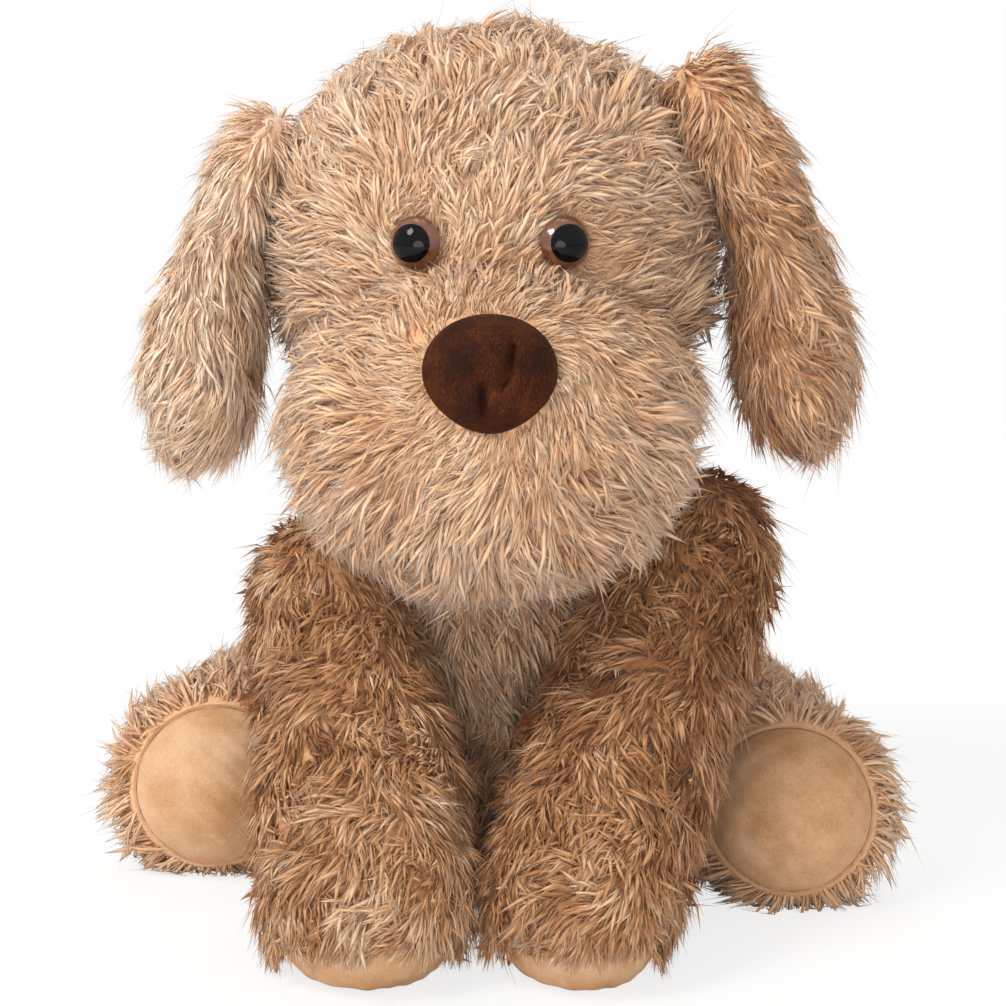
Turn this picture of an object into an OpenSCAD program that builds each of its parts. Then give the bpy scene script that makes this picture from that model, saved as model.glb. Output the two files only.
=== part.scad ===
// A sitting plush dog, 0.3 m tall: long-pile panels sewn round fibre filling, short-pile
// soles, a velour nose and plastic eyes held by washers. Millimetres, +Z up, the nose towards
// -Y, and the origin on the floor under the middle. Left and right are the dog's own.

/* [Cloth] */
// Thickness of the pile cloth: its knitted backing with the pile pressed flat
cloth_t = 2; // [1.2:0.1:3]
// Room between the cloth and the filling
fill_gap = 0.2; // [0.1:0.05:0.4]
// Smallest room between two parts that move past each other
play = 0.6; // [0.4:0.1:1]

/* [Torso] */
// Half width of the belly
belly_rx = 54; // [48:1:54]
// Height of the belly's middle
belly_z = 47; // [44:1:49]
// Half width of the chest, where the front legs are sewn on
chest_rx = 36; // [32:1:38]
// Height of the chest's middle
chest_z = 98; // [94:1:100]
// Radius of the ball that the head turns on
neck_r = 30; // [26:1:30]
// Height of that ball's centre, where the head turns and nods
neck_z = 134; // [132:1:136]

/* [Head] */
// Half width of the skull
skull_rx = 69; // [64:1:70]
// Half height of the skull
skull_rz = 67; // [62:1:68]
// Height of the skull's middle
skull_z = 228; // [224:1:229]
// Half width of the muzzle
muzzle_rx = 61; // [56:1:62]
// Half height of the muzzle
muzzle_rz = 49; // [44:1:50]
// Half width of the strip that runs from the brow over the crown
gusset_half = 15; // [12:1:17]
// Half width of the nose
nose_rx = 20; // [17:1:21]

/* [Eyes] */
// Diameter of a plastic eye
eye_d = 17; // [15:0.5:18]
// Diameter of its black pupil
pupil_d = 12.2; // [10:0.2:13]
// Distance between the middles of the two eyes
eye_pitch = 44; // [42:1:54]
// Height of the eyes
eye_z = 235; // [231:1:238]

/* [Legs] */
// Radius of a front paw
paw_r = 31; // [26:1:31]
// Radius of a hind foot
foot_r = 31; // [27:1:31]
// How far a front sole's rim lies from the middle of its paw
paw_sole_offset = 19; // [15:1:22]
// How far a hind sole's rim lies from the middle of its foot
foot_sole_offset = 16; // [13:1:22]

/* [Hidden] */
form_fn = 24;   // sides of the soft forms
round_fn = 48;  // sides of the plastic parts
far = 1000;     // larger than the whole dog on every side

LEFT = 1;
RIGHT = -1;

// middles and half sizes of the soft forms
belly_at = [0, 18, belly_z];
belly_half = [belly_rx, 52, belly_z];
chest_at = [8, 10, chest_z];
chest_half = [chest_rx, 42, 36];
breast_at = [8, -16, 92];
breast_half = [28, 30, 28];
neck_at = [0, -8, neck_z];
skull_at = [0, -18, skull_z];
skull_half = [skull_rx, 64, skull_rz];
muzzle_at = [0, -82, 176];
muzzle_half = [muzzle_rx, 48, muzzle_rz];

// the nose sits where the muzzle's front slopes back, and leans back with it
nose_rise = 24.5;
nose_lean = 24;
nose_half = [nose_rx, 12, 18.4];
nose_slack = 2;
nose_at = [0, muzzle_at[1] - muzzle_half[1] * sqrt(1 - pow(nose_rise / muzzle_half[2], 2)),
           muzzle_at[2] + nose_rise];

// the eyes stand square on the skull
eye_x = eye_pitch / 2;
eye_y = skull_at[1] - skull_half[1]
        * sqrt(1 - pow(eye_x / skull_half[0], 2) - pow((eye_z - skull_z) / skull_half[2], 2));
eye_turn = 20;
eye_lift = 6;
eye_bulge = 5.2;
stem_r = 2;
stem_len = 14;
washer_r = 7;
washer_t = 1.6;

// the ears hang from a round root just off the skull; the left one sits higher
function ear_root_r(side) = side > 0 ? 11 : 8;
function ear_lean(side) = side > 0 ? 57 : 67;
function ear_reach(side) = cloth_t + play + ear_root_r(side) + cloth_t;
function ear_root(side) = [
    side * (skull_half[0] + ear_reach(side)) * sin(ear_lean(side)),
    -14,
    skull_z + (skull_half[2] + ear_reach(side)) * cos(ear_lean(side))];
function ear_mid(side) = side > 0 ? [90, -18, 244] : [-85.5, -18, 234];
function ear_low(side) = side > 0 ? [101, -22, 189] : [-97, -22, 184];
function ear_root_half(side) = [ear_root_r(side), 22, ear_root_r(side)];
ear_mid_half = [6, 27, 20];
ear_low_half = [15, 30, 27];

// the legs lie as a soft toy's do when it is set down, so the two sides differ a little
function shoulder(side) = side > 0 ? [70.5, -27.5, 118] : [-56, -34, 104];
shoulder_half = [20, 27, 28];
function elbow(side) = side > 0 ? [43, -69, 64] : [-43, -69, 62];
elbow_half = [28, 27, 29];
function paw(side) = side > 0 ? [29.5, -101, 27] : [-40, -101, 27];
// the left paw is sewn a little slimmer
function paw_half(side) = [side > 0 ? paw_r - 3 : paw_r, paw_r, paw_r];
paw_pitch = 72;
function hip(side) = [side * 81, 42, 35];
hip_half = [26, 26, 34];
function foot(side) = side > 0 ? [102.5, -24, 32.5] : [-98.5, 11, 32.5];
foot_half = [foot_r, foot_r, foot_r];
function foot_turn(side) = side > 0 ? -5 : 6;
function foot_pitch(side) = side > 0 ? 78 : 84;

tail_r = 12;
tail_tip_r = 9;
tail_root = [0, 86, 24];
tail_tip = [0, 127, 18];

bag_at = [0, 18, 19];
bag_half = [35, 33, 12];
bag_t = 0.6;
pellet_r = 2.6;
thread_r = 0.8;
stitch_lean = 25;

// colours of the cloths and plastics
cream = "#d3af90";
tan_pile = "#9d6f4f";
sand = "#c8a07c";
cocoa = "#3c1908";
filling_white = "#f1efe8";
iris_brown = "#6c3f2c";
pupil_black = "#08080a";

// ---- soft forms -------------------------------------------------------------------------

// A ball stretched to the half sizes given, and grown by grow all round.
module ball(at, half, grow = 0) {
    translate(at) scale([for (h = half) h + grow]) sphere(r = 1, $fn = form_fn);
}

// What is in front of, behind, above, below or beside a plane through at.
module above(at, turn = [0, 0, 0]) {
    translate(at) rotate(turn) translate([-far / 2, -far / 2, 0]) cube(far);
}
module off_floor() { above([0, 0, 0]); }
module left_of(x) { above([x, 0, 0], [0, 90, 0]); }
module right_of(x) { above([x, 0, 0], [0, -90, 0]); }
module before(y) { above([0, y, 0], [90, 0, 0]); }
module behind(y) { above([0, y, 0], [-90, 0, 0]); }
module on_side(side, x) {
    if (side > 0) left_of(x);
    else right_of(x);
}

module torso_form(grow = 0) {
    hull() {
        ball(belly_at, belly_half, grow);
        ball(chest_at, chest_half, grow);
        ball(breast_at, breast_half, grow);
        ball(neck_at, [neck_r, neck_r, neck_r], grow);
    }
}
module skull_form(grow = 0) { hull() ball(skull_at, skull_half, grow); }
module muzzle_form(grow = 0) { hull() ball(muzzle_at, muzzle_half, grow); }
module nose_form(grow = 0) {
    translate(nose_at) rotate([-nose_lean, 0, 0]) hull() ball([0, 0, 0], nose_half, grow);
}
module ear_form(side, grow = 0) {
    hull() {
        ball(ear_root(side), ear_root_half(side), grow);
        ball(ear_mid(side), ear_mid_half, grow);
    }
    hull() {
        ball(ear_mid(side), ear_mid_half, grow);
        ball(ear_low(side), ear_low_half, grow);
    }
}
module front_leg_form(side, grow = 0) {
    hull() {
        ball(shoulder(side), shoulder_half, grow);
        ball(elbow(side), elbow_half, grow);
        ball(paw(side), paw_half(side), grow);
    }
}
module hind_leg_form(side, grow = 0) {
    hull() {
        ball(hip(side), hip_half, grow);
        ball(foot(side), foot_half, grow);
    }
}
module tail_form(grow = 0) {
    hull() {
        ball(tail_root, [tail_r, tail_r, tail_r], grow);
        ball(tail_tip, [tail_tip_r, tail_tip_r, tail_tip_r], grow);
    }
}

// The neck ball's room inside the head. The gathering thread runs in it, with play on each side.
neck_room_r = neck_r + cloth_t + 2 * play + 2 * thread_r;
module neck_room(grow = 0) {
    translate(neck_at) sphere(r = neck_room_r + grow, $fn = round_fn);
}

// What lies beyond the seam of a sole.
module past_paw_seam(side) {
    translate(paw(side)) rotate([90 + paw_pitch, 0, 0]) above([0, 0, paw_sole_offset]);
}
module past_foot_seam(side) {
    translate(foot(side)) rotate([0, 0, foot_turn(side)]) rotate([foot_pitch(side), 0, 0])
        above([0, 0, foot_sole_offset]);
}

// ---- torso ------------------------------------------------------------------------------

seat_top = 9;      // height of the seam round the seat panel
chest_back = -14;  // where the chest panel's side seams run

module torso_cloth() {
    intersection() {
        difference() {
            torso_form(cloth_t);
            torso_form(fill_gap);
        }
        above([0, 0, seat_top]);
    }
}
module chest_panel() {
    color(tan_pile) intersection() {
        torso_cloth();
        before(chest_back);
    }
}
module back_panel(side) {
    color(tan_pile) intersection() {
        torso_cloth();
        behind(chest_back);
        on_side(side, 0);
    }
}
module seat_panel() {
    color(tan_pile) difference() {
        intersection() {
            torso_form(cloth_t);
            off_floor();
        }
        above([0, 0, seat_top]);
        intersection() {
            torso_form(fill_gap);
            above([0, 0, cloth_t]);
        }
    }
}
module torso_filling() {
    color(filling_white) difference() {
        intersection() {
            torso_form();
            above([0, 0, cloth_t + fill_gap]);
        }
        hull() ball(bag_at, bag_half, bag_t + fill_gap);
    }
}
module pellet_bag() {
    color(sand) difference() {
        hull() ball(bag_at, bag_half, bag_t);
        hull() ball(bag_at, bag_half);
    }
}
module pellets() {
    pitch = 2 * pellet_r + 0.6;
    color("white")
    for (layer = [-1, 1], i = [-5 : 5], j = [-5 : 5]) {
        at = [(i + (j % 2 == 0 ? 0 : 0.5)) * pitch, j * pitch * 0.87, layer * pitch / 2];
        inside = [for (k = [0 : 2]) pow(at[k] / (bag_half[k] - pellet_r - 1.2), 2)];
        if (inside[0] + inside[1] + inside[2] < 1)
            translate(bag_at + at) sphere(r = pellet_r, $fn = round_fn);
    }
}

// Thread that gathers the torso's top, and that the head turns on.
module neck_stitching() {
    reach = neck_room_r - play - thread_r;
    color(tan_pile) translate(neck_at + [0, 0, reach * cos(stitch_lean)])
        rotate_extrude($fn = round_fn)
            translate([reach * sin(stitch_lean), 0]) circle(r = thread_r, $fn = 16);
}

// ---- head -------------------------------------------------------------------------------

nape_y = 6;  // where the nape panel meets the cheeks and the crown

module skull_cloth() {
    difference() {
        skull_form(cloth_t);
        skull_form(fill_gap);
        muzzle_form(fill_gap);
        neck_room();
    }
}
module gusset() {
    difference() {
        above([0, 0, muzzle_at[2]]);
        left_of(gusset_half);
        right_of(-gusset_half);
        behind(nape_y);
    }
}
module crown_panel() {
    color(cream) intersection() {
        skull_cloth();
        gusset();
    }
}
module cheek_panel(side) {
    color(cream) difference() {
        intersection() {
            skull_cloth();
            on_side(side, 0);
            before(nape_y);
        }
        gusset();
        on_eye(side) cylinder(r = stem_r + play / 4, h = 4 * stem_len, center = true, $fn = round_fn);
    }
}
module nape_panel() {
    color(cream) intersection() {
        skull_cloth();
        behind(nape_y);
    }
}
module muzzle_panel(side) {
    color(cream) intersection() {
        difference() {
            muzzle_form(cloth_t);
            muzzle_form(fill_gap);
            skull_form(cloth_t);
            neck_room();
        }
        on_side(side, 0);
    }
}

// Cloth that closes the head and lies on the torso's ball.
module head_base_panel() {
    color(cream) difference() {
        intersection() {
            neck_room(cloth_t);
            skull_form();
        }
        neck_room();
    }
}
module head_filling() {
    color(filling_white) difference() {
        union() {
            skull_form();
            muzzle_form();
        }
        neck_room(cloth_t + fill_gap);
        for (side = [LEFT, RIGHT]) {
            on_eye(side) cylinder(r = stem_r + fill_gap, h = 2 * stem_len + 2, center = true, $fn = round_fn);
            on_eye(side) translate([0, 0, -washer_t - cloth_t])
                cylinder(r = washer_r + fill_gap, h = washer_t + cloth_t + fill_gap, $fn = round_fn);
        }
    }
}
module nose_cover() {
    color(cocoa) difference() {
        nose_form(cloth_t / 2);
        nose_form();
        muzzle_form(cloth_t);
    }
}
module nose_filling() {
    color(filling_white) difference() {
        nose_form(-nose_slack);
        muzzle_form(cloth_t + fill_gap);
    }
}

// ---- eyes: +Z runs out of the skull, with the cloth's inner face at 0 ---------------------

module on_eye(side) {
    translate([side * eye_x, eye_y, eye_z]) rotate([0, 0, side * eye_turn]) rotate([90 - eye_lift, 0, 0]) children();
}

// Outline of a shallow dome: half the arc of the ball that fits its width and height.
function dome(radius, height) =
    let (ball_r = (radius * radius + height * height) / (2 * height), half = asin(radius / ball_r))
    [for (i = [0 : 12]) [ball_r * sin(half * i / 12), ball_r * cos(half * i / 12) - ball_r + height]];

eye_seat = 5;       // the disc's flat back, on top of the flattened pile
pupil_rise = 2.4;   // the pupil starts this far above the disc's back
pupil_sink = 1.4;   // depth of the pocket it is pressed into

module eye_iris(side) {
    color(iris_brown) on_eye(side) difference() {
        union() {
            translate([0, 0, eye_seat]) rotate_extrude($fn = round_fn)
                polygon(concat([[0, 0]], dome(eye_d / 2, eye_bulge)));
            translate([0, 0, eye_seat - stem_len]) cylinder(r = stem_r, h = stem_len + 1, $fn = round_fn);
            for (ridge = [1 : 3])
                translate([0, 0, eye_seat - stem_len + 1.6 * ridge])
                    cylinder(r1 = stem_r - 0.2, r2 = stem_r + 0.3, h = 0.9, $fn = round_fn);
        }
        translate([0, 0, eye_seat + pupil_rise]) cylinder(r = pupil_d / 2, h = eye_bulge, $fn = round_fn);
    }
}
module eye_pupil(side) {
    color(pupil_black) on_eye(side) translate([0, 0, eye_seat + pupil_rise]) rotate_extrude($fn = round_fn)
        polygon(concat([[0, 0], [pupil_d / 2, 0]],
            [for (i = [12 : -1 : 0]) dome(pupil_d / 2, 2.2)[i] + [0, pupil_sink]]));
}
module eye_washer(side) {
    color("white") on_eye(side) translate([0, 0, -washer_t - cloth_t + 0.6]) difference() {
        cylinder(r = washer_r, h = washer_t, $fn = round_fn);
        translate([0, 0, -1]) cylinder(r = stem_r + 0.05, h = washer_t + 2, $fn = round_fn);
        for (turn = [0 : 60 : 300]) rotate(turn)
            translate([stem_r - 0.5, -0.3, -1]) cube([2.4, 0.6, washer_t + 2]);
    }
}

// ---- ears -------------------------------------------------------------------------------

// The seam between an ear's two panels lies in the plane through its length.
module beyond_ear_seam(side) {
    run = ear_low(side) - ear_mid(side);
    translate(ear_mid(side)) rotate([0, -atan2(run[0], -run[2]), 0]) on_side(side, 0);
}
module ear_cloth(side) {
    difference() {
        ear_form(side, cloth_t);
        ear_form(side, fill_gap);
    }
}
module ear_outer_panel(side) {
    color(cream) intersection() {
        ear_cloth(side);
        beyond_ear_seam(side);
    }
}
module ear_inner_panel(side) {
    color(tan_pile) difference() {
        ear_cloth(side);
        beyond_ear_seam(side);
    }
}
module ear_wadding(side) { color(filling_white) ear_form(side); }

// ---- legs -------------------------------------------------------------------------------

module leg_filling() {
    color(filling_white) intersection() {
        children();
        above([0, 0, cloth_t + fill_gap]);
    }
}
module front_leg_cloth(side) {
    difference() {
        intersection() {
            front_leg_form(side, cloth_t);
            off_floor();
        }
        intersection() {
            front_leg_form(side, fill_gap);
            above([0, 0, cloth_t]);
        }
    }
}
module front_leg_panel(side, outer) {
    seam_x = paw(side)[0];
    color(tan_pile) difference() {
        intersection() {
            front_leg_cloth(side);
            on_side(outer ? side : -side, seam_x);
        }
        past_paw_seam(side);
    }
}
module front_sole(side) {
    color(sand) intersection() {
        front_leg_cloth(side);
        past_paw_seam(side);
    }
}
module hind_leg_cloth(side) {
    difference() {
        intersection() {
            hind_leg_form(side, cloth_t);
            off_floor();
        }
        intersection() {
            hind_leg_form(side, fill_gap);
            above([0, 0, cloth_t]);
        }
    }
}
module hind_leg_panel(side, outer) {
    seam_x = foot(side)[0] - side * 6;
    color(tan_pile) difference() {
        intersection() {
            hind_leg_cloth(side);
            on_side(outer ? side : -side, seam_x);
        }
        past_foot_seam(side);
    }
}
module hind_sole(side) {
    color(sand) intersection() {
        hind_leg_cloth(side);
        past_foot_seam(side);
    }
}

// ---- tail -------------------------------------------------------------------------------

tail_seam_z = 22;
module tail_cloth() {
    difference() {
        tail_form(cloth_t);
        tail_form(fill_gap);
    }
}
module tail_top_panel() {
    color(tan_pile) intersection() {
        tail_cloth();
        above([0, 0, tail_seam_z]);
    }
}
module tail_under_panel() {
    color(tan_pile) difference() {
        tail_cloth();
        above([0, 0, tail_seam_z]);
    }
}
module tail_filling() { color(filling_white) tail_form(); }

// ---- the nodes --------------------------------------------------------------------------

chest_panel();
back_panel(LEFT);  // back_panel_left
back_panel(RIGHT);  // back_panel_right
seat_panel();
torso_filling();
pellet_bag();
pellets();
neck_stitching();
crown_panel();
cheek_panel(LEFT);  // cheek_panel_left
cheek_panel(RIGHT);  // cheek_panel_right
nape_panel();
muzzle_panel(LEFT);  // muzzle_panel_left
muzzle_panel(RIGHT);  // muzzle_panel_right
head_base_panel();
head_filling();
nose_cover();
nose_filling();
tail_top_panel();
tail_under_panel();
tail_filling();

for (side = [LEFT, RIGHT]) {
    s = side > 0 ? "_left" : "_right";
    eye_iris(side);
    eye_pupil(side);
    eye_washer(side);
    ear_outer_panel(side);
    ear_inner_panel(side);
    ear_wadding(side);
    front_leg_panel(side, true);
    front_leg_panel(side, false);
    leg_filling() front_leg_form(side);
    front_sole(side);
    hind_leg_panel(side, true);
    hind_leg_panel(side, false);
    leg_filling() hind_leg_form(side);
    hind_sole(side);
}
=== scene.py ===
# %% [markdown]
# A sitting plush dog. The CAD model gives every sewn form, and this lesson dresses it: each form
# is stuffed with a cloth simulation, cut along its seams into the panels a maker sews, and
# planted with thousands of small locks of pile. The soles, the nose and the eyes are the only
# places without long pile, so they get a finish of their own.

import math
import time

import bpy
import numpy as np
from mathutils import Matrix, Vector


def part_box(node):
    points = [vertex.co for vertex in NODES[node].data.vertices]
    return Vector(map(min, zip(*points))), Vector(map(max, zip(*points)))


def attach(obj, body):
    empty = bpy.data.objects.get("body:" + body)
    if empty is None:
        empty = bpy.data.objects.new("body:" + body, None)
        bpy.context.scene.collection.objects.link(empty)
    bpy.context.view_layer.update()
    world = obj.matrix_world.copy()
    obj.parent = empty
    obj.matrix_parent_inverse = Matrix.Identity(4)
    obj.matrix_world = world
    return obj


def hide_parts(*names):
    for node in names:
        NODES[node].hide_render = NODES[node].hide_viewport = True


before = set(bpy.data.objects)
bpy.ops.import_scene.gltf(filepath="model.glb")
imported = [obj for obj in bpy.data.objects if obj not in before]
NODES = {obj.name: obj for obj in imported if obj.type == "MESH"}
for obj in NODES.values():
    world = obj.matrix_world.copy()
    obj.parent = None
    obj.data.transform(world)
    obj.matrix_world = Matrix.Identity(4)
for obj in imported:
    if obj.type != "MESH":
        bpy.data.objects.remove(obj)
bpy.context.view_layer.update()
MM = 0.001
SIDES = ("left", "right")
began = time.perf_counter()
print("the frame has", len(NODES), "nodes")

# %% [markdown]
# The object is seen from a little above, with a long lens that keeps the muzzle from swelling.
# The camera comes first, so that each step can be looked at.

# %% Camera
CAMERA_TURN = math.radians(12)
CAMERA_FAR = 1.2
target = Vector((4 * MM, 0, 134 * MM))
camera_data = bpy.data.cameras.new("camera")
camera_data.sensor_width = 36
camera_data.lens = 124.5
camera = bpy.data.objects.new("camera", camera_data)
camera.location = target + CAMERA_FAR * Vector((0, -math.cos(CAMERA_TURN), math.sin(CAMERA_TURN)))
camera.rotation_euler = (math.pi / 2 - CAMERA_TURN, 0, 0)
bpy.context.scene.collection.objects.link(camera)
bpy.context.scene.camera = camera
bpy.context.scene.view_settings.view_transform = "Standard"

# %% [markdown]
# Every colour is written as the hex value it should show, and turned to the linear numbers
# that a shader works in. One helper adds a node, its settings and its links.

# %% Colour and node helpers
def colour(hex_value):
    channels = [int(hex_value[i : i + 2], 16) / 255 for i in (1, 3, 5)]
    return [c / 12.92 if c <= 0.04045 else ((c + 0.055) / 1.055) ** 2.4 for c in channels] + [1]


def add(tree, kind, links=(), **settings):
    """Adds a node. links holds (input, source socket), and a setting named in_X sets input X."""
    node = tree.nodes.new(kind)
    for key, value in settings.items():
        if key.startswith("in_"):
            name = key[3:]
            node.inputs[int(name) if name.isdigit() else name.replace("_", " ")].default_value = value
        else:
            setattr(node, key, value)
    for name, source in links:
        tree.links.new(source, node.inputs[name])
    return node


def ramp(tree, source, stops):
    """A colour ramp through stops, each a place from 0 to 1 and a linear colour."""
    node = add(tree, "ShaderNodeValToRGB", [("Fac", source)])
    while len(node.color_ramp.elements) < len(stops):
        node.color_ramp.elements.new(0.5)
    for element, (place, value) in zip(node.color_ramp.elements, stops):
        element.position = place
        element.color = value if len(value) == 4 else [*value, 1]
    return node.outputs["Color"]


def new_material(name):
    material = bpy.data.materials.new(name)
    material.use_nodes = True
    tree = material.node_tree
    shader = tree.nodes["Principled BSDF"]
    return material, tree, shader


# %% [markdown]
# Long pile is a knitted polyester fur. A lock is redder where it leaves the cloth and palest at
# its end. The map named OFBake holds sixteen shades side by side: across one of them run the
# strands of a lock, and along V runs the lock's length. The material reads nothing else, so
# every lock may share the same map.

# %% Long pile materials
BAKE_MAP = "OFBake"
SHADES = 16


def long_pile(name, shades, root_tint, tip_tint, sheen):
    """Pile of the given shades, from darkest to palest. A tint multiplies the shade."""
    material, tree, shader = new_material(name)
    uv = add(tree, "ShaderNodeUVMap", uv_map=BAKE_MAP)
    parts = add(tree, "ShaderNodeSeparateXYZ", [("Vector", uv.outputs["UV"])])
    column = add(tree, "ShaderNodeMath", [(0, parts.outputs["X"])], operation="MULTIPLY", in_1=SHADES)
    column = add(tree, "ShaderNodeMath", [(0, column.outputs[0])], operation="FLOOR")
    base = add(tree, "ShaderNodeMapRange", [(0, column.outputs[0])],
               in_2=SHADES - 1.0, in_3=0.08, in_4=0.92)
    # strands: a noise drawn out along the lock, about five of them to its width
    grid = add(tree, "ShaderNodeMapping", [("Vector", uv.outputs["UV"])], in_Scale=(SHADES * 5.0, 1.5, 1.0))
    strands = add(tree, "ShaderNodeTexNoise", [("Vector", grid.outputs[0])], in_Scale=1.0, in_Detail=2.0,
                  in_Roughness=0.65, noise_dimensions="2D")
    shift = add(tree, "ShaderNodeMapRange", [(0, strands.outputs["Fac"])],
                in_1=0.25, in_2=0.75, in_3=-0.16, in_4=0.16)
    mixed = add(tree, "ShaderNodeMath", [(0, base.outputs[0]), (1, shift.outputs[0])],
                operation="ADD", use_clamp=True)
    stops = [(i / (len(shades) - 1), colour(c)) for i, c in enumerate(shades)]
    fibre = ramp(tree, mixed.outputs[0], stops)
    tints = [(0.0, root_tint), (0.35, [0.96, 0.92, 0.88]), (0.7, [1.0] * 3), (1.0, tip_tint)]
    along = ramp(tree, parts.outputs["Y"], tints)
    both = add(tree, "ShaderNodeMix", [(6, fibre), (7, along)],
               data_type="RGBA", blend_type="MULTIPLY", in_0=1.0)
    tree.links.new(both.outputs[2], shader.inputs["Base Color"])
    shader.inputs["Roughness"].default_value = 0.6
    shader.inputs["Specular IOR Level"].default_value = 0.25
    shader.inputs["Sheen Weight"].default_value = sheen
    shader.inputs["Sheen Roughness"].default_value = 0.45
    return material


cream_pile = long_pile("Cream polyester long pile",
                       ["#a86f44", "#ce9b6f", "#e0b78f", "#e9caab", "#f0dcc6"],
                       [0.93, 0.82, 0.73], [1.0, 1.0, 1.0], 0.25)
brown_pile = long_pile("Brown polyester long pile",
                       ["#754220", "#a0693c", "#bc885b", "#d2a67c", "#e1c4a4"],
                       [0.84, 0.71, 0.61], [1.05, 1.05, 1.05], 0.15)

# %% [markdown]
# The soles are velboa, a pile shaved to about 1.5 mm. It looks like suede: where the nap is
# brushed the other way the colour shifts a little, and a grazing light gives it a pale bloom.
# The nose is a denser velour, dyed dark brown.

# %% Short pile materials
def short_pile(name, dark, mid, light, nap_scale, fibre_scale, sheen, sheen_tint, bump, fine=0.28, run=1.0):
    """nap_scale and fibre_scale are cells a metre: brushed patches, and the ends of the pile. fine
    is how much of the colour the ends decide, and run below 1 draws them out up and down."""
    material, tree, shader = new_material(name)
    place = add(tree, "ShaderNodeTexCoord").outputs["Object"]
    drawn = add(tree, "ShaderNodeMapping", [("Vector", place)], in_Scale=(1.0, 1.0, run))
    nap = add(tree, "ShaderNodeTexNoise", [("Vector", place)],
              in_Scale=nap_scale, in_Detail=4.0, in_Roughness=0.6)
    fibre = add(tree, "ShaderNodeTexNoise", [("Vector", drawn.outputs[0])],
                in_Scale=fibre_scale, in_Detail=2.0)
    both = add(tree, "ShaderNodeMix", [(2, nap.outputs["Fac"]), (3, fibre.outputs["Fac"])], in_0=fine)
    shade = ramp(tree, both.outputs[0], [(0.36, colour(dark)), (0.5, colour(mid)), (0.64, colour(light))])
    tree.links.new(shade, shader.inputs["Base Color"])
    raised = add(tree, "ShaderNodeBump", [("Height", fibre.outputs["Fac"])],
                 in_Strength=bump, in_Distance=0.4 * MM)
    tree.links.new(raised.outputs["Normal"], shader.inputs["Normal"])
    shader.inputs["Roughness"].default_value = 0.85
    shader.inputs["Specular IOR Level"].default_value = 0.15
    shader.inputs["Sheen Weight"].default_value = sheen
    shader.inputs["Sheen Roughness"].default_value = 0.35
    shader.inputs["Sheen Tint"].default_value = colour(sheen_tint)
    return material


velboa = short_pile("Sand velboa", "#b08259", "#c29872", "#cfaa88", 45, 1400, 0.3, "#f4dcc2", 0.35)
velour = short_pile("Cocoa velour", "#1c0700", "#341403", "#542808", 75, 1900, 0.12, "#7a4518", 0.8,
                    fine=0.42, run=0.3)


# %% Plastics and inner cloths
def plain(name, hex_value, rough, grain_scale=900, grain=0.05, lighter=None):
    """A moulded or woven stuff whose colour hardly varies: grain is the strength of its bump."""
    material, tree, shader = new_material(name)
    place = add(tree, "ShaderNodeTexCoord").outputs["Object"]
    noise = add(tree, "ShaderNodeTexNoise", [("Vector", place)], in_Scale=grain_scale, in_Detail=3.0)
    stops = [(0.35, colour(hex_value)), (0.65, colour(lighter or hex_value))]
    shade = ramp(tree, noise.outputs["Fac"], stops)
    tree.links.new(shade, shader.inputs["Base Color"])
    raised = add(tree, "ShaderNodeBump", [("Height", noise.outputs["Fac"])],
                 in_Strength=grain, in_Distance=0.1 * MM)
    tree.links.new(raised.outputs["Normal"], shader.inputs["Normal"])
    shader.inputs["Roughness"].default_value = rough
    return material


iris_plastic = plain("Brown polystyrene", "#5a2f1c", 0.16, 350, 0.0, "#71442c")
iris_plastic.node_tree.nodes["Principled BSDF"].inputs["Coat Weight"].default_value = 0.6
pupil_plastic = plain("Black polystyrene", "#050506", 0.04, 350, 0.0, "#08080a")
pupil_plastic.node_tree.nodes["Principled BSDF"].inputs["Specular IOR Level"].default_value = 0.16
washer_plastic = plain("White polyethylene", "#e4e2da", 0.45, 700, 0.1, "#efede6")
pellet_plastic = plain("White polypropylene", "#ecebe5", 0.35, 700, 0.05, "#f5f4ef")
fibre_filling = plain("Polyester fibrefill", "#e6e3da", 0.95, 500, 0.9, "#f4f2ec")
bag_cotton = plain("Plain cotton", "#cfc4ab", 0.9, 1500, 0.5, "#e0d7c2")
thread_brown = plain("Spun polyester thread", "#6d4a33", 0.8, 2500, 0.6, "#8d6750")

# %% [markdown]
# An operator works on whatever is selected, so these helpers keep the selection in hand.
# A form starts as a copy of its CAD filling, with the loose triangles merged.

# %% Selection and copies
bpy.context.tool_settings.mesh_select_mode = (False, False, True)


def deselect():
    if bpy.context.object and bpy.context.object.mode != "OBJECT":
        bpy.ops.object.mode_set(mode="OBJECT")
    bpy.ops.object.select_all(action="DESELECT")


def pick(*objects):
    deselect()
    for o in objects:
        o.select_set(True)
    bpy.context.view_layer.objects.active = objects[0]


def points_of(o):
    co = np.empty(len(o.data.vertices) * 3, np.float32)
    o.data.vertices.foreach_get("co", co)
    return co.reshape(-1, 3).astype(float)


def put_points(o, points):
    o.data.vertices.foreach_set("co", points.astype(np.float32).ravel())
    o.data.update()


def unit(v):
    return v / np.maximum(np.linalg.norm(v, axis=-1, keepdims=True), 1e-12)


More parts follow.
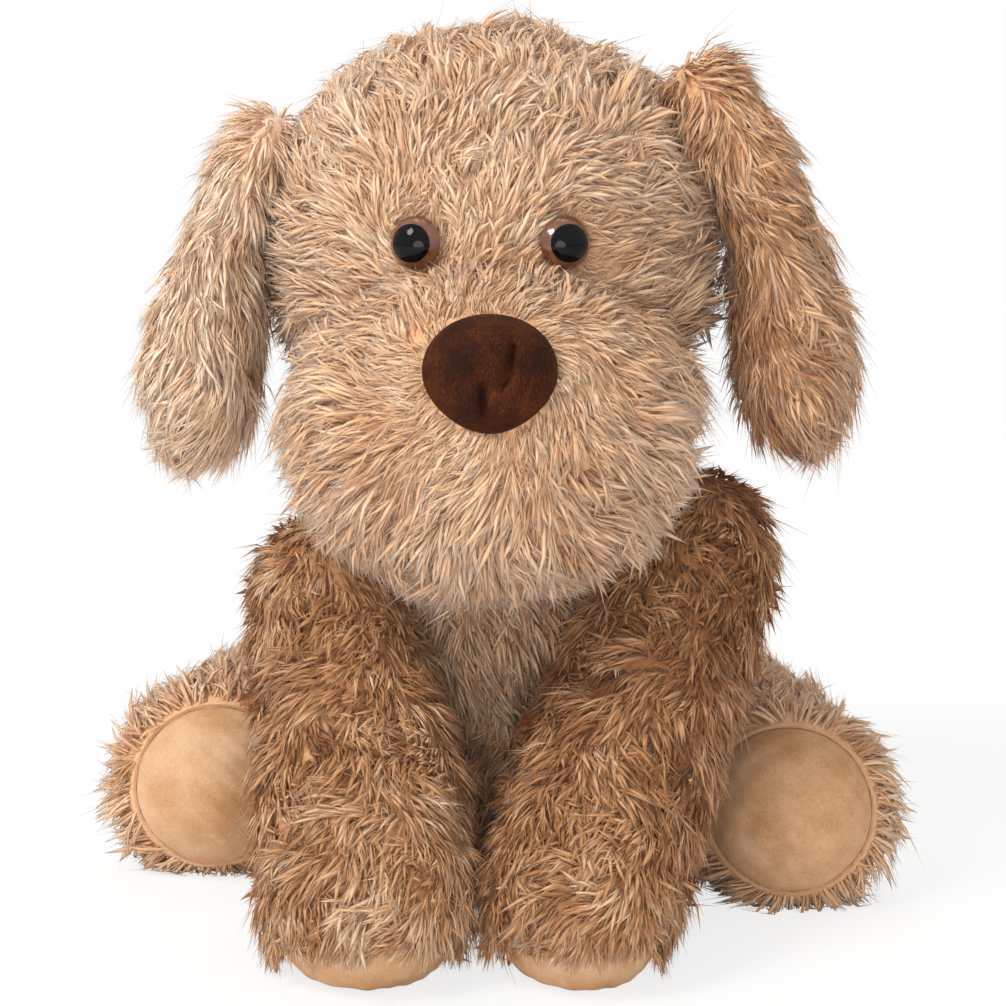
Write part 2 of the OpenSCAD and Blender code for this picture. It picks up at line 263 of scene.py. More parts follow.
def copy_of(node, name):
    """A merged copy of a CAD node, without any void inside it."""
    o = bpy.data.objects.new(name, NODES[node].data.copy())
    bpy.context.scene.collection.objects.link(o)
    o.data.materials.clear()
    pick(o)
    bpy.ops.object.mode_set(mode="EDIT")
    bpy.ops.mesh.select_all(action="SELECT")
    bpy.ops.mesh.remove_doubles(threshold=0.02 * MM)
    bpy.ops.mesh.separate(type="LOOSE")
    bpy.ops.object.mode_set(mode="OBJECT")
    parts = sorted(bpy.context.selected_objects, key=lambda part: -max(part.dimensions))
    for part in parts[1:]:
        bpy.data.objects.remove(part)
    parts[0].name = name
    return parts[0]


# %% [markdown]
# Stuffing is what gives a soft toy its shape: the flat panels swell until the cloth is tight.
# The form is remeshed into even faces and blown up by a cloth simulation with no gravity. A
# point ends at least the cloth's thickness outside the filling, and how far it moves is capped,
# because the cloth hardly stretches.

# %% Stuffing
def stuffed(o, voxel, swell, relax=4, frames=12):
    """Turns o into an evenly meshed form whose skin is about swell outside the filling."""
    pick(o)
    remesh = o.modifiers.new("even faces", "REMESH")
    remesh.mode = "VOXEL"
    remesh.voxel_size = voxel
    bpy.ops.object.modifier_apply(modifier=remesh.name)
    smooth = o.modifiers.new("relax", "SMOOTH")
    smooth.iterations = relax
    bpy.ops.object.modifier_apply(modifier=smooth.name)
    rest = points_of(o)
    normals = np.empty(len(rest) * 3, np.float32)
    o.data.vertices.foreach_get("normal", normals)
    normals = normals.reshape(-1, 3).astype(float)
    floor = 0.3 * MM
    moved = normals * swell
    cloth = o.modifiers.new("pressure", "CLOTH")
    cloth.settings.use_pressure = True
    cloth.settings.uniform_pressure_force = 4
    cloth.settings.effector_weights.gravity = 0
    cloth.settings.shrink_min = -0.05
    cloth.settings.quality = 4
    cloth.point_cache.frame_start = 1
    cloth.point_cache.frame_end = frames
    for step in range(1, frames + 1):
        bpy.context.scene.frame_set(step)
    blown = o.evaluated_get(bpy.context.evaluated_depsgraph_get())
    moved = np.array([v.co for v in blown.data.vertices]) - rest
    o.modifiers.remove(cloth)
    bpy.context.scene.frame_set(1)
    # the filling holds every point out, and the cloth's own length holds it in
    out = (moved * normals).sum(1, keepdims=True)
    slid = moved - out * normals
    slid *= np.minimum(1, swell / np.maximum(np.linalg.norm(slid, axis=1, keepdims=True), 1e-9))
    swollen = rest + slid + np.clip(out, 0.95 * swell, 1.5 * swell) * normals
    print(o.name, "moves out", np.round(np.percentile(out / MM, (5, 50, 95)), 2), "mm before the cap")
    swollen[:, 2] = np.maximum(swollen[:, 2], floor)
    put_points(o, swollen)
    print(o.name, "stuffed:", len(o.data.polygons), "faces, at", round(time.perf_counter() - began, 1), "s")
    return o

# %% [markdown]
# The head is two balls sewn into one: the skull and the broad muzzle. Both are added as spheres
# at the sizes of their panels and joined, so the remesh rounds the crease where they meet.

# %% Head form
def span(*nodes):
    """The lowest and highest corner of several CAD nodes together."""
    corners = [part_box(node) for node in nodes]
    low = Vector([min(c[0][k] for c in corners) for k in range(3)])
    high = Vector([max(c[1][k] for c in corners) for k in range(3)])
    return low, high


def ball(low, high, name):
    deselect()
    bpy.ops.mesh.primitive_uv_sphere_add(segments=48, ring_count=24, radius=1, location=(low + high) / 2)
    o = bpy.context.object
    o.name = name
    o.scale = (high - low) / 2
    bpy.ops.object.transform_apply(location=True, rotation=True, scale=True)
    return o


CLOTH = 2 * MM
low, high = span("crown_panel", "cheek_panel_left", "cheek_panel_right", "nape_panel")
skull_mid = (low + high) / 2
skull_mid.y = high.y - (high.x - low.x) / 2 * 0.93
skull_half = Vector(((high.x - low.x) / 2, high.y - skull_mid.y, (high.z - low.z) / 2))
low, high = span("muzzle_panel_left", "muzzle_panel_right")
muzzle_half = Vector(((high.x - low.x) / 2, 52 * MM, (high.z - low.z) / 2))
muzzle_mid = Vector((0, low.y + muzzle_half.y, (low.z + high.z) / 2))
print("skull", skull_mid, skull_half, "muzzle", muzzle_mid, muzzle_half)

inner = Vector((CLOTH, CLOTH, CLOTH))
skull = ball(skull_mid - skull_half + inner, skull_mid + skull_half - inner, "skull")
muzzle = ball(muzzle_mid - muzzle_half + inner, muzzle_mid + muzzle_half - inner, "muzzle")
pick(skull, muzzle)
bpy.ops.object.join()
skull.name = "head form"
head_form = stuffed(skull, 5 * MM, CLOTH, relax=8)
# a safety eye is drawn in by its washer, so the cloth dips under the rim of the disc
points = points_of(head_form)
for side in SIDES:
    eye = np.array(sum(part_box("eye_iris_" + side), Vector()) / 2)
    inwards = unit(np.array(skull_mid) - eye)
    reach = np.linalg.norm(points - eye, axis=1)
    points += 2.4 * MM * np.clip(1 - (reach / (16 * MM)) ** 2, 0, 1)[:, None] * inwards
put_points(head_form, points)

# %% Other forms
forms = {"torso": stuffed(copy_of("torso_filling", "torso form"), 5 * MM, CLOTH)}
for side in SIDES:
    for part, filling, voxel in (("front_leg", "front_leg_filling", 4), ("hind_leg", "hind_leg_filling", 4),
                                 ("ear", "ear_wadding", 3.5)):
        copy = copy_of(filling + "_" + side, part + " form")
        forms[part + "_" + side] = stuffed(copy, voxel * MM, CLOTH)
forms["tail"] = stuffed(copy_of("tail_filling", "tail form"), 3 * MM, CLOTH)
forms["head"] = head_form

# %% [markdown]
# A maker cuts a form's skin along its seams. Here the swollen form is bisected where each seam
# runs, and every face then goes to the panel that holds its middle.

# %% Panels
def seam(o, place, normal):
    """Cuts new edges through o along a plane."""
    pick(o)
    bpy.ops.object.mode_set(mode="EDIT")
    bpy.ops.mesh.select_all(action="SELECT")
    bpy.ops.mesh.bisect(plane_co=place, plane_no=normal)
    bpy.ops.object.mode_set(mode="OBJECT")


def middles(o):
    centres = np.empty(len(o.data.polygons) * 3, np.float32)
    o.data.polygons.foreach_get("center", centres)
    return centres.reshape(-1, 3).astype(float)


def panel(o, chosen, name):
    """A piece made of the chosen faces of o."""
    new = o.copy()
    new.data = o.data.copy()
    new.name = new.data.name = name
    bpy.context.scene.collection.objects.link(new)
    pick(new)
    bpy.ops.object.mode_set(mode="EDIT")
    bpy.ops.mesh.select_all(action="DESELECT")
    bpy.ops.object.mode_set(mode="OBJECT")
    new.data.polygons.foreach_set("select", ~chosen)
    bpy.ops.object.mode_set(mode="EDIT")
    bpy.ops.mesh.delete(type="FACE")
    bpy.ops.object.mode_set(mode="OBJECT")
    return new


panels = {}  # CAD node name -> (skin object, body)


def share_out(form, body, places):
    """places: node name -> True where a face's middle belongs to it. The first match wins."""
    o = forms[form]
    centres = middles(o)
    free = np.ones(len(centres), bool)
    for node, belongs in places.items():
        mine = free & belongs(centres)
        free &= ~mine
        panels[node] = (panel(o, mine, node + "_skin"), body)
    assert not free.any(), (form, "has faces without a panel")
    bpy.data.objects.remove(o)


EVERYWHERE = lambda c: np.ones(len(c), bool)

crown_low, crown_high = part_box("crown_panel")
nape_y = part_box("nape_panel")[0].y
seam(head_form, (crown_low.x, 0, 0), (1, 0, 0))
seam(head_form, (crown_high.x, 0, 0), (1, 0, 0))
seam(head_form, (0, 0, 0), (1, 0, 0))
seam(head_form, (0, nape_y, 0), (0, 1, 0))


def on_muzzle(c):
    """Nearer to the muzzle's ball than to the skull's."""
    def reach(mid, half):
        return np.linalg.norm((c - np.array(mid)) / np.array(half), axis=1)
    return reach(muzzle_mid, muzzle_half) < reach(skull_mid, skull_half) + 0.02


share_out("head", "head", {
    "muzzle_panel_left": lambda c: on_muzzle(c) & (c[:, 0] > 0),
    "muzzle_panel_right": on_muzzle,
    "nape_panel": lambda c: c[:, 1] > nape_y,
    "crown_panel": lambda c: (abs(c[:, 0]) < crown_high.x) & (c[:, 2] > muzzle_mid.z),
    "cheek_panel_left": lambda c: c[:, 0] > 0,
    "cheek_panel_right": EVERYWHERE,
})

chest_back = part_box("chest_panel")[1].y
seat_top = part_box("seat_panel")[1].z
seam(forms["torso"], (0, chest_back, 0), (0, 1, 0))
seam(forms["torso"], (0, 0, 0), (1, 0, 0))
seam(forms["torso"], (0, 0, seat_top), (0, 0, 1))
share_out("torso", "torso", {
    "seat_panel": lambda c: c[:, 2] < seat_top,
    "chest_panel": lambda c: c[:, 1] < chest_back,
    "back_panel_left": lambda c: c[:, 0] > 0,
    "back_panel_right": EVERYWHERE,
})

tail_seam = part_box("tail_top_panel")[0].z
seam(forms["tail"], (0, 0, tail_seam), (0, 0, 1))
share_out("tail", "tail", {"tail_top_panel": lambda c: c[:, 2] > tail_seam, "tail_under_panel": EVERYWHERE})


def rim_plane(sole, body_mid):
    """The plane of a sole's seam: a place on it and its normal, pointing out through the sole."""
    points = points_of(NODES[sole])
    out = Vector(points.mean(0)) - body_mid
    axes = np.linalg.svd(points - points.mean(0), full_matrices=False)[2]
    normal = Vector(axes[2])
    if normal.dot(out) < 0:
        normal = -normal
    place = Vector(points[np.argmin(points @ np.array(normal))])
    return place, normal


soles = {}
for side, sign in zip(SIDES, (1, -1)):
    for leg, sole in (("front_leg_", "front_sole_"), ("hind_leg_", "hind_sole_")):
        name = leg + side
        low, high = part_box(leg + "filling_" + side)
        place, normal = rim_plane(sole + side, (low + high) / 2)
        inner_low, inner_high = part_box(leg + "inner_panel_" + side)
        seam_x = inner_high.x if sign > 0 else inner_low.x
        seam(forms[name], place, normal)
        seam(forms[name], (seam_x, 0, 0), (1, 0, 0))
        soles[sole + side] = (place, normal)
        share_out(name, name, {
            sole + side: lambda c: (c - np.array(place)) @ np.array(normal) > 0,
            leg + "outer_panel_" + side: lambda c: (c[:, 0] - seam_x) * sign > 0,
            leg + "inner_panel_" + side: EVERYWHERE,
        })
    name = "ear_" + side
    points = points_of(forms[name])
    slope = np.polyfit(points[:, 2], points[:, 0], 1)
    share_out(name, name, {
        "ear_outer_panel_" + side: lambda c: (c[:, 0] - np.polyval(slope, c[:, 2])) * sign > 0,
        "ear_inner_panel_" + side: EVERYWHERE,
    })
for node, (o, body) in panels.items():
    o.data.materials.clear()
print(len(panels), "panels cut")

# %% [markdown]
# A lock of pile is a flat, pointed tongue of strands with a few loose fibres round it. Both are
# modelled as a three-sided cone: rings are cut into it, its base is pulled to a point,
# and it is then copied, bent and laid over each panel.

# %% Slivers
def sliver(name, rings, widths):
    """A pointed sliver 1 long with rings at the places given along it. Returns how far along it
    each point is, its place across, the triangles, how far across the strands each corner is, and
    which triangles face the skin."""
    deselect()
    bpy.ops.mesh.primitive_cone_add(vertices=3, radius1=1, radius2=0, depth=1, end_fill_type="TRIFAN",
                                    location=(0, 0, 0.5))
    o = bpy.context.object
    bpy.ops.object.transform_apply(location=True, rotation=True, scale=True)
    bpy.ops.object.mode_set(mode="EDIT")
    for k in range(1, len(rings)):
        bpy.ops.mesh.select_all(action="SELECT")
        bpy.ops.mesh.bisect(plane_co=(0, 0, k / len(rings)), plane_no=(0, 0, 1))
    bpy.ops.mesh.select_all(action="SELECT")
    bpy.ops.mesh.quads_convert_to_tris()
    bpy.ops.object.mode_set(mode="OBJECT")
    points = points_of(o)
    faces = np.array([list(f.vertices) for f in o.data.polygons])
    bpy.data.objects.remove(o)
    in_ring = np.linalg.norm(points[:, :2], axis=1) > 1e-4
    ring = np.where(in_ring, np.round(points[:, 2] * len(rings)).astype(int), 0)
    corner = np.round(np.degrees(np.arctan2(points[:, 1], points[:, 0])) / 120).astype(int) % 3
    along = np.where(in_ring, np.array(rings)[ring], points[:, 2])
    # the three corners of a ring are its right edge, its ridge and its left edge
    edge = np.array([(1.0, 0.0), (0.0, 1.0), (-1.0, 0.0)])[corner]
    across = np.where(in_ring[:, None], edge * np.array(widths)[ring][:, None], 0.0)
    strand = np.zeros(faces.shape)
    back = np.zeros(len(faces), bool)
    for f, face in enumerate(faces):
        corners = {corner[v] for v in face if in_ring[v]}
        side = next(a for a in corners if (a + 1) % 3 in corners)
        back[f] = side == 2
        u = {0: {0: 1.0, 1: 0.5}, 1: {1: 0.5, 2: 0.0}, 2: {2: 0.0, 0: 1.0}}[side]
        strand[f] = [u[corner[v]] if in_ring[v] else sum(u.values()) / 2 for v in face]
    print(name, "has", len(points), "points and", len(faces), "faces")
    return along, across, faces, strand, back


TONGUE = sliver("a tongue", [0.14, 0.58], [0.85, 0.85])
FIBRE = sliver("a fibre", [0.42], [1.0])


# %% Where the locks stand
def scattered(o, spacing, rng):
    """Places about spacing apart on o's faces, and the skin's normals there."""
    mesh = o.data
    mesh.calc_loop_triangles()
    points = points_of(o)
    corners = np.array([t.vertices for t in mesh.loop_triangles])
    vertex_normals = np.array([v.normal for v in mesh.vertices])
    a, b, c = (points[corners[:, k]] for k in range(3))
    areas = np.linalg.norm(np.cross(b - a, c - a), axis=1) / 2
    count = int(6 * areas.sum() / spacing**2)
    chosen = rng.choice(len(corners), count, p=areas / areas.sum())
    r = np.sqrt(rng.random((count, 1)))
    q = rng.random((count, 1))
    weights = np.hstack([1 - r, r * (1 - q), r * q])
    place = np.einsum("nk,nkd->nd", weights, points[corners[chosen]])
    normal = unit(np.einsum("nk,nkd->nd", weights, vertex_normals[corners[chosen]]))
    cell = np.floor(place / (spacing * 0.92) + rng.random(3)).astype(np.int64)
    cell -= cell.min(0)
    key = (cell[:, 0] * 4096 + cell[:, 1]) * 4096 + cell[:, 2]
    keep = np.unique(key, return_index=True)[1]
    return place[keep], normal[keep], areas.sum()


WAVES = np.random.default_rng(7).normal(size=(3, 4, 3)) * 2 * math.pi / (34 * MM)
PHASES = np.random.default_rng(8).random((3, 4)) * 2 * math.pi


def drift(place, kind):
    """A slow, seeded wander between about -1 and 1 over the skin. kind picks one of three."""
    return np.sin(place @ WAVES[kind].T + PHASES[kind]).sum(1) / 2.2


# %% Planting
FLOOR = 0.4 * MM


def turned(v, axis, angle):
    """Rows of v turned about rows of axis, by angle in radians."""
    c, s = np.cos(angle)[:, None], np.sin(angle)[:, None]
    return v * c + np.cross(axis, v) * s + axis * (axis * v).sum(1, keepdims=True) * (1 - c)


def laid(shape, place, first, last, side, length, wide, thick):
    """Copies of a sliver, each bent from one direction to another. Returns points and triangles."""
    along, across, faces = shape[:3]
    t = along[None, :, None]
    heading = first[:, None] + (last - first)[:, None] * t
    path = first[:, None] * t + (last - first)[:, None] * t**2 / 2
    up = unit(np.cross(heading, side[:, None] + 0 * heading))
    points = place[:, None] + path * length[:, None, None]
    points = points + side[:, None] * (wide[:, None] * across[:, 0])[..., None]
    points = points + up * (thick[:, None] * across[:, 1])[..., None]
    triangles = faces[None] + (np.arange(len(place)) * len(along))[:, None, None]
    return points.reshape(-1, 3), triangles.reshape(-1, 3)


def shade_map(shape, own, middle, reach):
    """The map of copies of a sliver: own picks a shade, middle and reach the strands it shows."""
    along, _, faces, strand, _ = shape
    column = np.floor(np.clip(own, 0, 0.999) * SHADES)[:, None, None]
    u = (column + 0.5 + 0.9 * (middle[:, None, None] + reach * (strand[None] - 0.5))) / SHADES
    v = np.broadcast_to((0.01 + 0.98 * along)[faces][None], u.shape)
    return np.stack([u, v], -1).reshape(-1, 2)


def plant(node, material, comb, shade, length=16, spacing=2.4, fibres=2, root=1.4, droop=0.25,
          rise=(34, -6), stray=11, wander=38, wide=0.74, tuft=6.5, length_at=None, shade_at=None,
          keep=None, dense=None, seed=0):
    """Covers a panel with locks. Lengths are in millimetres and angles in degrees. comb gives the
    way the locks lie, and shade their middle shade and its spread, from 0 to 1. rise is how far a
    lock stands off the skin at its root and at its tip, wide is half a tongue's width, and tuft
    the size of the tufts. dense says where the locks stand closer, and keep where they stand."""
    o, body = panels[node]
    rng = np.random.default_rng(seed + 1000)
    place, normal, area = scattered(o, spacing * MM, rng)
    if dense is not None:
        place_2, normal_2, _ = scattered(o, spacing * 0.7 * MM, rng)
        loose, tight = ~dense(place), dense(place_2)
        place = np.vstack([place[loose], place_2[tight]])
        normal = np.vstack([normal[loose], normal_2[tight]])
    if keep is not None:
        chosen = keep(place)
        place, normal = place[chosen], normal[chosen]
    n = len(place)
    lay = comb(place, normal)
    lay = unit(lay - normal * (lay * normal).sum(1, keepdims=True))
    # neighbouring locks cling together in tufts of one direction and nearly one shade
    drawn = np.stack([drift(place * 2.2, kind) for kind in range(3)], 1) * 2 * MM
    cell = np.floor((place + drawn) / (tuft * MM)).astype(int)
    member = np.unique(cell, axis=0, return_inverse=True)[1].ravel()
    sums = np.stack([np.bincount(member, place[:, k]) for k in range(3)], 1)
    tuft_mid = (sums / np.bincount(member)[:, None])[member]
    tuft_turn, tuft_shade, tuft_rise = rng.normal(size=(3, member.max() + 1))[:, member]
    wild = np.where(rng.random(n) < 0.08, 3.0, 1.0)
    turn = wander * drift(place, 0) + 13 * drift(place * 2.7, 1) + 13 * tuft_turn
    turn = turn + 0.6 * stray * wild * rng.normal(size=n)
    lay = turned(lay, normal, np.radians(turn))
    start, end = (np.radians(a + 6 * rng.normal(size=n) + 8 * tuft_rise)[:, None] for a in rise)
    first = lay * np.cos(start) + normal * np.sin(start)
    last = turned(lay, normal, np.radians(16 * rng.normal(size=n)))
    last = last * np.cos(end) + normal * np.sin(end) - np.array((0, 0, droop))
    side = unit(np.cross(normal, first))
    side = unit(side + 0.35 * normal * rng.normal(size=(n, 1)))
    uneven = 1 + 0.15 * rng.normal(size=n) + 0.12 * drift(place, 2) + 0.25 * (rng.random(n) < 0.06)
    long = length * MM * uneven
    if length_at is not None:
        long = long * length_at(place)
    last = last + 1.2 * (tuft_mid - place) / long[:, None]
    own = shade[0] + shade[1] * (0.5 * drift(place, 2) + 0.5 * tuft_shade + 0.35 * rng.normal(size=n))
    if shade_at is not None:
        own = own + shade_at(place)
    sunk = place - normal * 0.8 * MM
    size = (long / (length * MM)) ** 0.5
    half = wide * MM * size * (0.85 + 0.4 * rng.random(n))
    tongues, tongue_faces = laid(TONGUE, sunk, first, last, side, long, half, half * 0.22)
    tongue_map = shade_map(TONGUE, own, np.zeros(n), 1.0)
    # the loose fibres of each lock start round it, and run together near its tip
    k = fibres
    angle = rng.random((n, k, 1)) * 2 * math.pi
    out = lay[:, None] * np.cos(angle) + np.cross(normal, lay)[:, None] * np.sin(angle)
    out = out * np.sqrt(rng.random((n, k, 1)))
    own_long = long[:, None] * (0.8 + 0.34 * rng.random((n, k)))
    lean = (-0.8 * root * MM * out / own_long[..., None] + 0.10 * rng.normal(size=(n, k, 3))).reshape(-1, 3)
    raised = normal[:, None] * 0.5 * MM * rng.random((n, k, 1))
    starts = (sunk[:, None] + root * MM * out + raised).reshape(-1, 3)

    def each(a):
        return np.repeat(a, k, axis=0)
    thin = 0.2 * MM * (0.7 + 0.6 * rng.random(n * k))
    tips = each(last) + lean + 0.12 * rng.normal(size=(n * k, 3))
    hairs, hair_faces = laid(FIBRE, starts, each(first) + lean, tips, each(side), own_long.reshape(-1),
                             thin, thin)
    hair_own = each(own) + 0.35 * shade[1] * rng.normal(size=n * k)
    hair_map = shade_map(FIBRE, hair_own, 0.9 * rng.random(n * k) - 0.45, 0.08)
    points = np.vstack([tongues, hairs])
    low = FLOOR + 0.25 * MM * rng.random(len(points))
    points[:, 2] = np.maximum(points[:, 2], low)
    triangles = np.vstack([tongue_faces, hair_faces + len(tongues)]).reshape(-1)
    mesh = bpy.data.meshes.new(node + "_pile")
    mesh.vertices.add(len(points))
    mesh.vertices.foreach_set("co", points.astype(np.float32).ravel())
    mesh.loops.add(len(triangles))
    mesh.loops.foreach_set("vertex_index", triangles.astype(np.int32))
    mesh.polygons.add(len(triangles) // 3)
    mesh.polygons.foreach_set("loop_start", np.arange(0, len(triangles), 3, dtype=np.int32))
    backs = np.concatenate([np.tile(TONGUE[4], n), np.tile(FIBRE[4], n * k)])
    mesh.polygons.foreach_set("use_smooth", ~backs)
    mesh.uv_layers.new(name=BAKE_MAP)
    mesh.uv_layers[0].data.foreach_set("uv", np.vstack([tongue_map, hair_map]).astype(np.float32).ravel())
    mesh.update(calc_edges=True)
    pile = bpy.data.objects.new(node + "_pile", mesh)
    bpy.context.scene.collection.objects.link(pile)
    # the cloth between the locks has the shade of their roots
    wall = o.modifiers.new("cloth", "SOLIDIFY")
    wall.thickness = 1.2 * MM
    wall.offset = -1
    pick(o)
    bpy.ops.object.modifier_apply(modifier=wall.name)
    skin_map = o.data.uv_layers.new(name=BAKE_MAP)
    skin_uv = np.zeros((len(o.data.loops), 2), np.float32)
    skin_u = (math.floor(shade[0] * SHADES) + 0.5) / SHADES
    for f in o.data.polygons:
        turn = 2 * math.pi / f.loop_total
        for step, loop in enumerate(f.loop_indices):
            skin_uv[loop] = (skin_u + 0.01 * math.cos(turn * step), 0.3 + 0.02 * math.sin(turn * step))
    skin_map.data.foreach_set("uv", skin_uv.ravel())
    pick(o, pile)
    bpy.ops.object.join()
    o.name = o.data.name = node + "_cloth"
    o.data.materials.clear()
    o.data.materials.append(material)
    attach(o, body)
    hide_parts(node)
    tally.append((node, n, len(o.data.polygons), round(area * 1e4)))
    return o


tally = []

# %% [markdown]
# Pile lies the way it was brushed. On the face it runs out from the nose in every direction, on
# the ears and legs it runs down their length, and round a sole it stands away from the seam.

# %% Brushing directions
nose_low, nose_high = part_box("nose_cover")
nose_mid = (nose_low + nose_high) / 2
eyes = {side: (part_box("eye_pupil_" + side)[0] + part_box("eye_pupil_" + side)[1]) / 2 for side in SIDES}
EYE_REACH = 7.5 * MM


def face_comb(place, _):
    """Out from the nose, away from the eyes, and hanging more the further back it is."""
    out = unit(place - np.array(nose_mid) - np.array((0, 6 * MM, 0)))
    down = np.clip((place[:, 1] + 40 * MM) / (50 * MM), 0, 1)[:, None] * 0.9
    lay = out + down * np.array((0, 0, -1.0))
    for eye in eyes.values():
        away = place - np.array(eye)
        near = np.exp(-(np.linalg.norm(away, axis=1) / (15 * MM)) ** 2)[:, None]
        lay = lay + 1.5 * near * unit(away)
    return lay


def face_length(place):
    """The pile is trimmed shorter round the nose and the eyes."""
    reach = np.linalg.norm(place - np.array(nose_mid), axis=1)
    near = 0.5 + 0.5 * np.clip((reach - 20 * MM) / (22 * MM), 0, 1)
    for eye in eyes.values():
        away = np.linalg.norm(place - np.array(eye), axis=1)
        near = near * (0.5 + 0.5 * np.clip((away - 9 * MM) / (10 * MM), 0, 1))
    # the cheeks are left fuller where the muzzle meets the skull
    x, z = place[:, 0], place[:, 2]
    cheek = np.exp(-((z - 200 * MM) / (16 * MM)) ** 2) * np.clip((abs(x) - 36 * MM) / (16 * MM), 0, 1)
    # and so is the crown beside the left ear
    crown = np.exp(-((x - 50 * MM) / (15 * MM)) ** 2) * np.clip((z - 262 * MM) / (12 * MM), 0, 1)
    return near * (1 + 0.35 * cheek + 0.5 * crown)


def near_eyes_and_nose(place):
    """Where the locks stand closer, because they are short there."""
    near = np.linalg.norm(place - np.array(nose_mid), axis=1) < 34 * MM
    for eye in eyes.values():
        near |= np.linalg.norm(place - np.array(eye), axis=1) < 18 * MM
    return near


def off_eyes_and_nose(place):
    """Where the face has pile at all: not under the eyes, nor under the nose."""
    free = np.ones(len(place), bool)
    for eye in eyes.values():
        free &= np.linalg.norm(place - np.array(eye), axis=1) > EYE_REACH + 2 * MM
    ring = (place - np.array(nose_mid))[:, [0, 2]] / np.array((nose_high.x, (nose_high.z - nose_low.z) / 2))
    return free & ~((np.linalg.norm(ring, axis=1) < 0.86) & (place[:, 1] < nose_high.y))


def along_comb(start, end, flare):
    """Down a limb from start to end, opening outwards a little."""
    start, end = np.array(start), np.array(end)
    axis = unit(end - start)

    def comb(place, normal):
        return axis + flare * normal + 0 * place
    return comb


def paw_length(place):
    """Shorter over the front of a paw, so that its sole shows."""
    low = np.clip((32 * MM - place[:, 2]) / (14 * MM), 0, 1)
    ahead = np.clip((-108 * MM - place[:, 1]) / (10 * MM), 0, 1)
    return 1 - 0.45 * low * ahead


def paw_shade(place):
    """Paler towards the paw."""
    return 0.3 * np.clip((70 * MM - place[:, 2]) / (55 * MM), 0, 1)


def down_comb(place, normal):
    return np.array((0, 0, -1.0)) + 0.25 * normal + 0 * place


# %% Planting the head
HEAD = dict(comb=face_comb, length_at=face_length, keep=off_eyes_and_nose, dense=near_eyes_and_nose,
            length=16, spacing=2.32, droop=0.3)
for number, node in enumerate(("crown_panel", "cheek_panel_left", "cheek_panel_right")):
    plant(node, cream_pile, shade=(0.55, 0.16), seed=number, **HEAD)
# Painted shade: the muzzle is the crown's cloth but gets a darker shade, to offset the key lamp that falls
# full on it.
for number, node in enumerate(("muzzle_panel_left", "muzzle_panel_right")):
    plant(node, cream_pile, shade=(0.47, 0.15), seed=10 + number, **HEAD)
plant("nape_panel", cream_pile, face_comb, (0.45, 0.16), length=15, spacing=3.1, seed=20)

# %% Planting the ears
for side, sign in zip(SIDES, (1, -1)):
    low, high = span("ear_outer_panel_" + side, "ear_inner_panel_" + side)
    x_top, x_low = (low.x, high.x) if sign > 0 else (high.x, low.x)
    comb = along_comb((x_top, low.y, high.z), (x_low + sign * 35 * MM, low.y, low.z), 0.1)
    # Painted light and shade: both ears are one cloth, but the right ear, on the key lamp's side, gets a
    # pale shade and the left ear a dark one.
    painted_side_shade = 0.32 if side == "left" else 0.8
    plant("ear_outer_panel_" + side, cream_pile, comb, (painted_side_shade, 0.2), length=15, spacing=2.5,
          seed=30 + sign)
    plant("ear_inner_panel_" + side, cream_pile, comb, (painted_side_shade - 0.06, 0.2), length=14, spacing=2.6,
          seed=33 + sign)

# %% Planting the body
# Painted light: the chest gets the palest brown shade, well above the back's, to offset the shade the head
# casts on it.
plant("chest_panel", brown_pile, down_comb, (0.88, 0.2), length=14, spacing=2.4, stray=18, seed=40)
for number, side in enumerate(SIDES):
    plant("back_panel_" + side, brown_pile, down_comb, (0.5, 0.18), length=14, spacing=3.0, stray=18,
          seed=41 + number)
plant("seat_panel", brown_pile, down_comb, (0.4, 0.15), length=7, spacing=4.5, seed=43)
for number, node in enumerate(("tail_top_panel", "tail_under_panel")):
    comb = along_comb((0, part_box(node)[0].y, 0), (0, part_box(node)[1].y, 0), 0.3)
    plant(node, brown_pile, comb, (0.48, 0.18), length=13, spacing=2.6, seed=50 + number)

# %% Planting the legs
for number, side in enumerate(SIDES):
    low, high = span("front_leg_outer_panel_" + side, "front_leg_inner_panel_" + side)
    comb = along_comb((0, high.y - 28 * MM, high.z - 28 * MM), (0, low.y + 32 * MM, 20 * MM), 0.35)
    # Painted shade: both front legs are one cloth, but the left one, away from the key lamp, gets a darker
    # shade than the right.
    painted_side_shade = 0.36 if side == "left" else 0.52
    for step, part in enumerate(("outer", "inner")):
        plant(f"front_leg_{part}_panel_{side}", brown_pile, comb, (painted_side_shade, 0.24), length=12.5, rise=(42, 4),
              stray=20, wander=60, wide=0.75, length_at=paw_length, shade_at=paw_shade,
              seed=60 + number + 4 * step)
    out_of = np.array(sum(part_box("hind_sole_" + side), Vector()) / 2)

    def foot_comb(place, _):
        """Away from the sole on every side."""
        away = place - out_of
        away[:, 1] *= 0.25
        return unit(away) + np.array((0, 0.25, -0.15))
    # Painted shade: both hind legs are one cloth, but the right one, which the key lamp lights most, gets a
    # darker shade to offset that light.
    painted_side_shade = 0.48 if side == "left" else 0.36
    for step, part in enumerate(("outer", "inner")):
        plant(f"hind_leg_{part}_panel_{side}", cream_pile, foot_comb, (painted_side_shade, 0.2), length=14.5,
              spacing=2.55, rise=(42, 4), stray=18, seed=70 + number + 4 * step)
for node, locks, faces, area in tally:
    print(node, locks, "locks,", faces, "faces,", area, "cm2")
print("all pile:", sum(t[2] for t in tally), "faces")

# %% [markdown]
# A sole is one round of velboa, tight over the filling. It needs smooth faces, a rim that dips
# where it is sewn in, and a slow unevenness in its swell.

